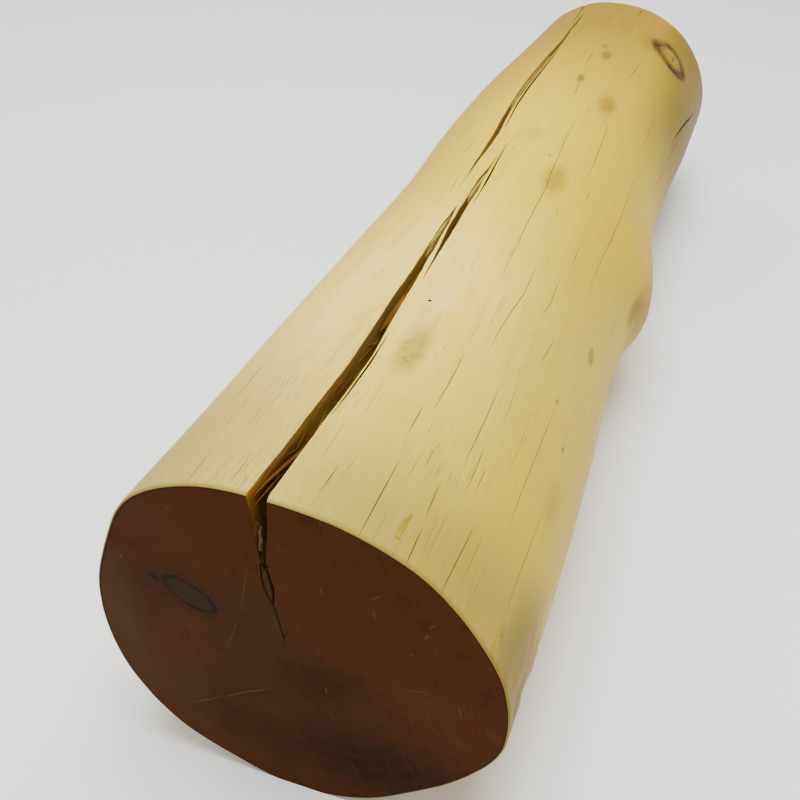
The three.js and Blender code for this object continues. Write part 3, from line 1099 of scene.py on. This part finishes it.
def paintSawnEnd():
    paint = Paint("sawnEnd", sawnTones)
    flat = paint.stretched(1, 0.2, 1)
    broad = paint.noise(flat, 22, 4, 0.6, 0.6)
    paint.start(paint.ramp(broad, 0.35, 0.65), "brown", "red")
    mottle = paint.noise(flat, 75, 3, 0.65)
    paint.lay("deep", mottle, 0.52, 0.70, 0.38)
    paint.lay("grey", mottle, 0.46, 0.30, 0.22)
    shaken = paint.shaken(38, 0.016)
    for x, z, halfX, halfZ, tilt, tone, strength in sawnPatches.values():
        reach = paint.reach(facePlace(x, z), tilt, faceHalves(halfX, halfZ), shaken)
        paint.lay(tone, reach, 1.35, 0.2, strength)
    # growth rings round the pith
    x, _, z = facePlace(*sawnTones["pith"])
    fromPith = paint.within((x, 0, z), 0, (1, 1, 1), paint.shaken(30, 0.006))
    radius = paint.length(paint.stretched(1, 0, 1, spot=fromPith))
    rings = paint.ramp(paint.sine(paint.times(radius, 2100)), 0.1, 1, 0.18)
    paint.lay("deep", paint.times(rings, paint.ramp(broad, 0.3, 0.7)))
    paint.lay("olive", paint.sine(paint.times(radius, 620)), 0.0, 1, 0.16)
    # saw marks, dust and pale specks
    saw = paint.noise(paint.within((0, 0, 0), 70, (1, 1, 0.02)), 26, 2, 0.5)
    paint.lay("grey", saw, 0.55, 0.7, 0.18)
    dust = paint.noise(paint.spot, 520, 3, 0.7)
    paint.lay("grey", dust, 0.56, 0.8, 0.35)
    paint.lay("scratch", paint.noise(paint.spot, 900, 1, 0.5), 0.80, 0.84, 0.6)
    for (startX, startZ), (stopX, stopZ), strength in sawnScratches.values():
        halfLong = math.hypot(stopX - startX, stopZ - startZ) / 2
        tilt = -math.degrees(math.atan2(stopZ - startZ, stopX - startX))
        middle = facePlace((startX + stopX) / 2, (startZ + stopZ) / 2)
        reach = paint.reach(middle, tilt, faceHalves(halfLong, scratchHalfWidth), paint.shaken(60, 0.0012))
        paint.lay("scratch", reach, 1.2, 0.3, strength)
    knot = sawnKnot
    wavy = paint.shaken(90, 0.003)
    reach = paint.reach(facePlace(*knot["middle"]), knot["tilt"], faceHalves(*knot["halves"]), wavy)
    paint.lay("knotHalo", reach, 2.6, 0.9, 0.75)
    paint.lay("knotCore", reach, 1.05, 0.8, 0.9)
    patchy = paint.ramp(paint.noise(paint.spot, 180, 2, 0.6), 0.34, 0.56, 0.95, 0.45)
    paint.lay("knotRing", paint.times(paint.ramp(paint.offFrom(reach, 1.0), 0.20, 0.05), patchy))
    reach = paint.reach(facePlace(*knot["tail"]), knot["tilt"], faceHalves(*knot["tailHalves"]), wavy)
    paint.lay("knotRing", reach, 1.3, 0.6, 0.85)
    depth = paint.depth()
    paint.lay("rimLine", depth, 2.6, 1.1, 0.8)
    paint.lay(sapwoodTones["rimTan"], depth, 1.0, 0.25, 0.85)
    return paint.finish(paint.plus(paint.times(dust, 0.6), paint.times(saw, 0.7)), 0.2)


crackTones = {
    "gold": (0.46, 0.26, 0.045),
    "amber": (0.30, 0.150, 0.016),
    "brown": (0.250, 0.135, 0.028),
    # dark also stands for the painted shade deep in a crack, mouth for the painted shade in its mouth at the
    # butt
    "dark": (0.022, 0.010, 0.003),
    "mouth": (0.058, 0.023, 0.002),
    "roughness": 0.6,
    "gloss": 0.3,
}


def paintCrackWall():
    # brown wood that painted shade darkens with depth, with golden fibres near the lips
    paint = Paint("crackWall", crackTones)
    depth = paint.depth()
    fibres = paint.noise(paint.stretched(1, 0.03, 1), 620, 4, 0.65)
    broad = paint.noise(paint.stretched(1, 0.16, 1), 110, 3, 0.6, 0.5)
    paint.start(paint.ramp(depth, 16, 48), "brown", "dark")
    paint.lay("amber", paint.times(paint.ramp(broad, 0.42, 0.68), paint.ramp(depth, 40, 8)))
    golden = paint.times(paint.ramp(fibres, 0.54, 0.74), paint.ramp(broad, 0.36, 0.66))
    paint.lay("gold", paint.times(golden, paint.ramp(depth, 30, 4)))
    paint.lay("gold", depth, 1.8, 0.3, 0.55)
    paint.lay("dark", fibres, 0.42, 0.25, 0.5)
    # painted shade: the wall darkened inside the crack's mouth at the butt
    nearButt = paint.ramp(paint.part(1), -0.290, -0.335)
    paint.lay("mouth", paint.times(nearButt, paint.ramp(depth, 1.5, 7, 0.95)))
    return paint.finish(fibres, 0.7)


checkTones = {
    "lip": (0.26, 0.15, 0.030),
    # painted shade deep in the fine checks
    "dark": (0.050, 0.025, 0.005),
    "roughness": 0.75,
    "gloss": 0.3,
}


def paintCheckWall():
    paint = Paint("checkWall", checkTones)
    # painted shade: the fine checks darken with depth in place of their shadow
    paint.start(paint.ramp(paint.depth(), 0.9, 0.0), "dark", "lip")
    return paint.finish()


fibreTones = {
    "straw": (0.50, 0.260, 0.020),
    "gold": (0.34, 0.150, 0.008),
    "amber": (0.17, 0.068, 0.004),
    # painted shade in the crack's mouth at the butt
    "mouth": (0.080, 0.028, 0.002),
    "shelfStraw": (0.62, 0.470, 0.110),
    "shelfOlive": (0.36, 0.250, 0.030),
    "roughness": 0.5,
    "gloss": 0.3,
}


def paintFibreGold():
    # fibres that sink into a crack, with painted shade darkening them with its depth
    paint = Paint("fibreGold", fibreTones)
    streaks = paint.noise(paint.stretched(1, 0.04, 1), 700, 3, 0.6)
    patches = paint.noise(paint.stretched(1, 0.3, 1), 90, 2, 0.5)
    paint.start(paint.ramp(streaks, 0.40, 0.66), "gold", "straw")
    paint.lay("amber", patches, 0.36, 0.62)
    depth = paint.depth()
    # painted shade: darker deeper in the crack
    paint.lay("amber", depth, 4, 16, 0.75)
    paint.lay(crackTones["brown"], depth, 14, 34, 0.8)
    # painted shade: darker inside the crack's mouth at the butt
    nearButt = paint.ramp(paint.part(1), -0.335, -0.350)
    paint.lay("mouth", paint.times(nearButt, paint.ramp(depth, 3, 12, 0.75)))
    return paint.finish(streaks, 0.5)


def paintFibrePale():
    # the single splinters near the lips
    paint = Paint("fibrePale", fibreTones)
    streaks = paint.noise(paint.stretched(1, 0.04, 1), 700, 3, 0.6)
    patches = paint.noise(paint.stretched(1, 0.3, 1), 90, 2, 0.5)
    paint.start(paint.ramp(streaks, 0.40, 0.66), "amber", "gold")
    paint.lay("amber", patches, 0.24, 0.52)
    return paint.finish(streaks, 0.5)


def paintShelf():
    # the pale ledges torn along the lip of a crack
    paint = Paint("shelfOlive", fibreTones)
    streaks = paint.noise(paint.stretched(1, 0.03, 1), 640, 3, 0.6)
    paint.start(paint.ramp(streaks, 0.38, 0.62), "shelfOlive", "shelfStraw")
    # painted shade: the ledges darken deeper in the crack
    paint.lay("amber", paint.depth(), 4, 11, 0.8)
    return paint.finish(streaks, 0.5)


chipTones = {
    "straw": (0.27, 0.170, 0.000),
    "cream": (0.41, 0.270, 0.000),
    "roughness": 0.55,
    "gloss": 0.3,
}


def paintChip():
    paint = Paint("chipStraw", chipTones)
    streaks = paint.noise(paint.stretched(1, 0.06, 1), 800, 3, 0.6)
    paint.start(paint.ramp(streaks, 0.35, 0.65), "straw", "cream")
    return paint.finish(streaks, 0.4)


sapwood = paintSapwood()
sawnEnd = paintSawnEnd()
crackWall = paintCrackWall()
checkWall = paintCheckWall()
fibreGold = paintFibreGold()
fibrePale = paintFibrePale()
shelfOlive = paintShelf()
chipStraw = paintChip()
print("materials mixed")

pinhole = {
    "clock": 5.6,
    "along": 168,
    "mouth": 1.0,
    "sides": 14,
    # the hole's width as a share of the mouth's, at millimetres over the skin
    "profile": [(0.6, 1.05), (-0.2, 1.0), (-3.5, 0.8), (-5, 0.35)],
}


def pinholeCutter(material):
    hole = pinhole
    angles = np.arange(hole["sides"]) * 2 * math.pi / hole["sides"]
    radius = float(finishedRadius(hole["clock"], hole["along"]))
    rings = []
    for height, width in hole["profile"]:
        across = hole["mouth"] * width * np.cos(angles)
        along = hole["along"] + hole["mouth"] * width * np.sin(angles)
        rings.append(placeOnLog(hole["clock"] + np.degrees(across / radius), along, radius + height))
    vertices, faces = loftRings(rings)
    return meshObject("pinhole", vertices, faces, [material])


def grownWedges(name, guide, form, material):
    # closed wedges along guide lines, as sharp cutters or as thin fibres
    return grownMesh(guide, wedgeTree, {
        "Half Width": form["halfWidth"] * millimetre,
        "Depth": form["halfDepth"] * 2 * millimetre,
        "Material": material,
    }, name)


wood = makeLogSkin([sapwood, sawnEnd])
cutters = []
for index, (name, stops) in enumerate(cracks.items()):
    wall = crackWall if name in crackForm["golden"] else checkWall
    cutters.append(crackCutter(name, stops, crackForm["firstSeed"] + 3 * index, wall))
for name, line in faceChecks.items():
    cutters.append(faceCheckCutter(name, line, checkWall))
cutAway(wood, cutters, "cracks")

wedgeTree = checkTree()
fineLines = [(checkSpots(clocks, alongs), width) for clocks, alongs, width in checkLines()]
fineCutter = grownWedges("fineCutter", guideLines("checkGuide", fineLines), fineChecks, checkWall)
cutAway(wood, [fineCutter, pinholeCutter(checkWall)], "fineChecks")


def readAll(items, name, kind, size=1):
    values = np.empty(len(items) * size, kind)
    items.foreach_get(name, values)
    return values


def meshSpots(mesh):
    return readAll(mesh.vertices, "co", float, 3).reshape(-1, 3)


def softenSkin(mesh):
    # the skin's own normals, taken from its form, so that thin cut faces don't spoil the shading
    clock, along, _ = clockAndDepth(meshSpots(mesh))
    turn, step, edge = logSkin["leanClock"], logSkin["leanAlong"], logSkin["leanRim"]
    aside = skinPoints(clock + turn, along) - skinPoints(clock - turn, along)
    ahead = skinPoints(clock, along + step) - skinPoints(clock, along - step)
    normals = np.cross(aside, ahead)
    normals /= np.linalg.norm(normals, axis=1)[:, None]
    rim = (along < edge) | (along > logForm["length"] - edge)
    normals[rim] = 0
    corners = readAll(mesh.loops, "vertex_index", int)
    kinds = readAll(mesh.polygons, "material_index", int)
    sides = readAll(mesh.polygons, "loop_total", int)
    onSkin = np.repeat(kinds == mesh.materials.find("sapwood"), sides)
    mesh.normals_split_custom_set(np.where(onSkin[:, None], normals[corners], 0).tolist())


def finishSurface(thing, angle):
    # smooth faces with crisp lips, and the depth under the skin at every point
    mesh = thing.data
    depth = clockAndDepth(meshSpots(mesh))[2]
    mesh.attributes.new("woodDepth", "FLOAT", "POINT").data.foreach_set("value", depth)
    mesh.polygons.foreach_set("use_smooth", [True] * len(mesh.polygons))
    mesh.set_sharp_from_angle(angle=math.radians(angle))
    mesh.update()


finishSurface(wood, logSkin["crease"])
softenSkin(wood.data)
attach(wood, "root")
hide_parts("post")
print("wood finished,", len(wood.data.polygons), "faces")


# Torn fibres in the cracks. A station holds along, left and right edge in millimetres from the
# crack's middle line, and the depth of the top and the bottom under the skin.
fibreSlabs = {
    "lipStrip": ("buttCrack", [
        (0.5, -5.1, -4.0, 0.6, 7), (12, -5.0, -3.7, 0.8, 7), (26, -5.1, -4.0, 1.6, 6),
        (40, -5.2, -4.7, 2.6, 4),
    ]),
    "mouthSlab": ("buttCrack", [
        (0.8, -5.0, -3.4, 4.0, 24), (3, -5.0, -3.3, 4.6, 25), (7, -4.8, -3.7, 7.5, 22),
        (12, -4.6, -4.1, 9.5, 18),
    ]),
    "mouthKnob": ("buttCrack", [
        (0.8, -3.9, -1.9, 23.5, 31), (2.5, -4.2, -1.7, 22.5, 33), (5, -4.4, -2.9, 22, 34),
        (9, -4.4, -3.7, 23, 33),
    ]),
    "lowerSlab": ("buttCrack", [(1.2, -3.6, -2.8, 32, 40), (4, -3.8, -2.8, 31, 41), (9, -3.8, -3.3, 33, 40)]),
    "upperShelf": ("upperCrack", [
        (424, -4.2, -2.4, 0.9, 12), (470, -4.4, -0.9, 1.6, 12), (525, -4.6, -0.8, 1.8, 12),
        (580, -4.0, -1.9, 1.2, 10),
    ]),
    "middleShelf": ("middleCrack", [
        (296, -2.6, -0.9, 1.2, 8), (318, -2.4, -0.4, 1.8, 8), (340, -1.2, -0.2, 2.2, 6),
    ]),
    "farShelf": ("buttCrack", [
        (206, -4.3, -3.0, 0.9, 9), (232, -3.9, -1.2, 1.2, 10), (258, -3.2, -0.4, 1.4, 8),
        (276, -1.6, -0.2, 1.6, 6),
    ]),
}

slabForm = {"step": 1.8, "levels": 12, "rag": 0.22, "brokenEnd": 1.6, "firstSeed": 300}

# Single splinters: the crack, the width as a share, and stations of along, across and depth
splinters = {
    "bridge": ("buttCrack", 5.4, [
        (168, 2.9, 0.4), (159, 2.2, 1.0), (151, 1.2, 2.0), (144, 0.0, 3.2), (137, -1.6, 4.6),
    ]),
    "bridgeTwin": ("buttCrack", 1.4, [(198, 1.9, 0.7), (186, 1.2, 1.6), (174, 0.3, 2.8), (162, -0.6, 4.2)]),
    "bridgeThird": ("buttCrack", 1.1, [(168, 2.4, 1.8), (158, 1.2, 3.4), (150, 0.2, 5.0), (143, -0.9, 6.2)]),
    "lipRight": ("buttCrack", 1.3, [(58, 3.7, 0.5), (80, 3.8, 0.8), (104, 3.7, 1.2), (126, 3.6, 1.0)]),
    "lipRightHigh": ("buttCrack", 1.0, [(132, 2.6, 0.8), (146, 2.4, 1.6), (162, 2.7, 0.9)]),
    "mouthGold": ("buttCrack", 2.4, [
        (0.8, -4.2, 4.0), (14, -3.4, 4.6), (30, -1.6, 6.0), (46, 0.2, 7.6), (62, 1.4, 9.6),
    ]),
    "mouthPale": ("buttCrack", 1.2, [(2, -3.4, 8), (16, -3.0, 8.4), (30, -2.2, 9.5)]),
    "mouthThread": ("buttCrack", 0.6, [(0.6, -2.6, 14), (3, -2.2, 19), (1.5, -1.9, 24)]),
    "tipThread": ("middleCrack", 0.8, [(262, -0.6, 2), (280, 0.2, 3), (298, 0.5, 2)]),
    "tipEdge": ("upperCrack", 1.0, [(360, 0.8, 1.0), (384, 1.1, 1.6), (410, 1.3, 1.0)]),
    "upperThread": ("upperCrack", 1.0, [(470, -1.0, 3), (500, 0.2, 4), (530, 0.3, 3)]),
}

looseFibres = {
    "seed": 77,
    "count": {"buttCrack": 95, "middleCrack": 26, "upperCrack": 60, "topLeftCrack": 8, "rightCrack": 10},
    "reach": (10, 42),
    "width": (0.35, 1.25),
    "halfWidth": 0.26,
    "halfDepth": 0.5,
    "pointStep": 3,
    "leftWall": 0.72,  # the share of them on the left wall
    "depth": (0.06, 0.62),  # shares of the crack's depth
    "rise": (-0.12, 0.12),
    "lift": (0.05, 0.5),
    "endGaps": (3, 8),  # millimetres left free at both ends of a crack
    "leastDepth": 0.7,
    "depthGap": 0.8,
    "crease": 50,
}


def crackSpot(name, along, across, depth):
    stops = np.array(cracks[name], float)
    middle = np.interp(along, stops[:, 0], (stops[:, 1] + stops[:, 2]) / 2)
    turn = np.radians(middle)
    spots = placeOnLog(middle, along, finishedRadius(middle, along) - depth)
    shift = np.stack([across * np.cos(turn), 0 * turn, -across * np.sin(turn)], -1)
    return spots + shift * millimetre


def halfGap(name, along, depth):
    # half of the crack's width at a depth
    stops = np.array(cracks[name], float)
    left, right, floor = (np.interp(along, stops[:, 0], stops[:, item]) for item in (1, 2, 3))
    mouth = np.radians(right - left) * skinRadius((left + right) / 2, along) / 2
    shares, widths = zip(*crackForm["taper"])
    return mouth * np.interp(depth / floor, shares, widths)


def makeFibreSlab(name, seed, material):
    form = slabForm
    crack, stations = fibreSlabs[name]
    stops, *edges = np.array(stations, float).T
    count = math.ceil(np.ptp(stops) / form["step"])
    shares = np.linspace(0, 1, form["levels"])
    bulge = np.sin(np.pi * (0.12 + 0.8 * shares)) ** 0.5
    rings = []
    for index, place in enumerate(np.linspace(stops[0], stops[-1], count + 1)):
        left, right, top, bottom = (np.interp(place, stops, edge) for edge in edges)
        depth = top + (bottom - top) * shares
        rag = noiseAt(place / 16, depth / 1.4, 0, seed) + 0.5 * noiseAt(place / 5, depth / 0.7, 3, seed)
        end = min(1, (index + 0.6) / 2, (count - index + 0.4) / 5)
        middle = (left + right) / 2
        half = (right - left) / 2 * end * bulge
        across = np.concatenate([middle + half + form["rag"] * rag * end, (middle - half)[::-1]])
        deep = np.concatenate([depth, depth[::-1]])
        spots = crackSpot(crack, np.full(len(deep), place), across, deep)
        if index == 0:
            broken = form["brokenEnd"] * noiseAt(deep / 2.2, 0, 0, seed + 1)
            spots[:, 1] += np.maximum(broken, -0.4) * millimetre
        rings.append(spots)
    vertices, faces = loftRings(rings)
    slab = meshObject(name, vertices, faces, [material])
    threeSided(slab, True)
    return slab


def strandSpots(crack, stations):
    # even points along a splinter's stations
    stations = np.array(stations, float)
    reach = np.concatenate([[0], np.cumsum(np.hypot(*np.diff(stations, axis=0).T[[0, 2]]))])
    count = max(4, int(reach[-1] / looseFibres["pointStep"]))
    steps = np.linspace(0, reach[-1], count + 1)
    return crackSpot(crack, *(np.interp(steps, reach, stations[:, item]) for item in range(3)))


def scatteredFibres(random):
    # fibres lying along the walls of the cracks, in the form of the single splinters
    form = looseFibres
    for crack, count in form["count"].items():
        stops = np.array(cracks[crack], float)
        low = stops[0, 0] + form["endGaps"][0]
        high = stops[-1, 0] - form["endGaps"][1]
        for _ in range(count):
            reach = random.uniform(*form["reach"])
            start = random.uniform(low, max(low + 1, high - reach))
            stop = min(start + reach, high)
            floor = np.interp((start + stop) / 2, stops[:, 0], stops[:, 3])
            side = -1 if random.random() < form["leftWall"] else 1
            depth = random.uniform(*form["depth"]) * floor + form["depthGap"]
            rise = random.uniform(*form["rise"]) * floor
            lift = random.uniform(*form["lift"])
            stations = []
            for share in (0, 0.3, 0.6, 1):
                along = start + (stop - start) * share
                deep = max(form["leastDepth"], depth + rise * share)
                gap = float(halfGap(crack, along, deep))
                across = side * (gap - lift * math.sin(math.pi * share) * min(1, gap))
                stations.append((along, across, deep))
            yield crack, random.uniform(*form["width"]), stations


def joined(name, things):
    # several plain meshes become one object
    shape = bmesh.new()
    materials = []
    for thing in things:
        start = len(shape.faces)
        shape.from_mesh(thing.data)
        shape.faces.ensure_lookup_table()
        for material in thing.data.materials:
            if material not in materials:
                materials.append(material)
        for face in shape.faces[start:]:
            face.material_index = materials.index(thing.data.materials[face.material_index])
    mesh = bpy.data.meshes.new(name)
    shape.to_mesh(mesh)
    shape.free()
    for material in materials:
        mesh.materials.append(material)
    for thing in things:
        bpy.data.objects.remove(thing)
    return linked(name, mesh)


def makeSplinters():
    grown = []
    fibres = scatteredFibres(np.random.default_rng(looseFibres["seed"]))
    for name, strands, material in (("single", splinters.values(), fibrePale), ("loose", fibres, fibreGold)):
        lines = [(strandSpots(crack, stations), width) for crack, width, stations in strands]
        grown.append(grownWedges(name, guideLines(name + "Guide", lines), looseFibres, material))
        threeSided(grown[-1], True)
    for index, name in enumerate(fibreSlabs):
        material = shelfOlive if name.endswith("Shelf") else fibreGold
        grown.append(makeFibreSlab(name, slabForm["firstSeed"] + index, material))
    laid = joined("crackSplinters", grown)
    finishSurface(laid, looseFibres["crease"])
    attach(laid, "root")
    print("splinters laid,", len(laid.data.polygons), "faces")


makeSplinters()

# Chips torn up from the skin: clock from and to, along from and to, height
rimChips = {
    "yellowChip": (29.0, 30.3, 9.0, 21.5, 0.45),
    "yellowChipTip": (29.6, 30.3, 20.0, 25.0, 0.3),
    "tornChip": (64.2, 66.9, 0.6, 12.5, 0.75),
    "tornChipHigh": (65.0, 66.6, 10.0, 20.0, 0.6),
    "tornEdge": (66.4, 67.2, 3.0, 17.0, 0.4),
}

chipForm = {"rows": 9, "columns": 5, "sunk": 0.6, "wander": 0.25, "rough": 0.35, "seed": 91, "crease": 35}


def makeChip(index, name, left, right, start, stop, height):
    form = chipForm
    spread = np.linspace(-1, 1, form["columns"])
    rings = []
    for place in np.linspace(0, 1, form["rows"]):
        along = np.full(form["columns"], start + (stop - start) * place)
        narrow = min(1, 0.35 + 3 * (1 - place))
        wander = form["wander"] * float(noiseAt(place * 3, index, 0.5, form["seed"]))
        middle = (left + right) / 2 + wander
        clock = middle + (right - left) / 2 * narrow * spread
        rough = form["rough"] * noiseAt(clock * 2, place * 4, 0, form["seed"] + 1 + index)
        crown = height * (1 - spread ** 4 * 0.7) * (1 + rough) * min(1, 0.3 + 2 * (1 - place))
        top = skinPoints(clock, along, -crown)
        bottom = skinPoints(clock, along, form["sunk"])
        rings.append(np.concatenate([top, bottom[::-1]]))
    vertices, faces = loftRings(rings)
    chip = meshObject(name, vertices, faces, [chipStraw])
    threeSided(chip, True)
    return chip


def makeChips():
    chips = [makeChip(index, name, *form) for index, (name, form) in enumerate(rimChips.items())]
    chips = joined("rimChips", chips)
    finishSurface(chips, chipForm["crease"])
    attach(chips, "root")
    print("chips laid,", len(chips.data.polygons), "faces")


makeChips()

camera = {
    "place": (152.98, -270.15, 492.80),  # from the middle of the butt's foot
    "turn": 19.906,
    "dip": 38.5585,
    "focalPixels": 1080.29,
    "framePixels": 800,
    "sensorWidth": 36,
}


def makeCamera():
    data = bpy.data.cameras.new("camera")
    data.lens = camera["sensorWidth"] * camera["focalPixels"] / camera["framePixels"]
    data.sensor_width = camera["sensorWidth"]
    thing = linked("camera", data)
    spot = np.array(camera["place"]) - [0, logForm["length"] / 2, 0]
    thing.location = Vector(spot * millimetre + logShift)
    thing.rotation_euler = (math.radians(90 - camera["dip"]), 0, math.radians(camera["turn"]))
    bpy.context.scene.camera = thing


makeCamera()

studio = {
    "floorSize": 6,
    "floorColour": (0.95, 0.95, 0.95),
    "floorRoughness": 0.9,
    "worldColour": (0.95, 0.97, 1.0),
    "worldStrength": 0.70,
    # place, size and power of each lamp, in metres and watts
    "lamps": {
        "keyLight": ((0.05, -0.25, 1.9), 1.1, 56),
        "fillLight": ((-1.5, 0.8, 1.3), 1.4, 8),
    },
    "aim": (0, 0, 0.1),
}


def makeStudio():
    half = studio["floorSize"] / 2
    floorPaint = bpy.data.materials.new("floorPaint")
    floorPaint.use_nodes = True
    inputs = floorPaint.node_tree.nodes["Principled BSDF"].inputs
    inputs["Base Color"].default_value = (*studio["floorColour"], 1)
    inputs["Roughness"].default_value = studio["floorRoughness"]
    corners = [(-half, -half, 0), (half, -half, 0), (half, half, 0), (-half, half, 0)]
    meshObject("floor", corners, [(0, 1, 2, 3)], [floorPaint])
    world = bpy.data.worlds.new("world")
    world.use_nodes = True
    backdrop = world.node_tree.nodes["Background"].inputs
    backdrop["Color"].default_value = (*studio["worldColour"], 1)
    backdrop["Strength"].default_value = studio["worldStrength"]
    bpy.context.scene.world = world
    for name, (place, size, power) in studio["lamps"].items():
        data = bpy.data.lights.new(name, "AREA")
        data.size = size
        data.energy = power
        lamp = linked(name, data)
        lamp.location = place
        lamp.rotation_euler = (Vector(studio["aim"]) - Vector(place)).to_track_quat("-Z", "Y").to_euler()


makeStudio()
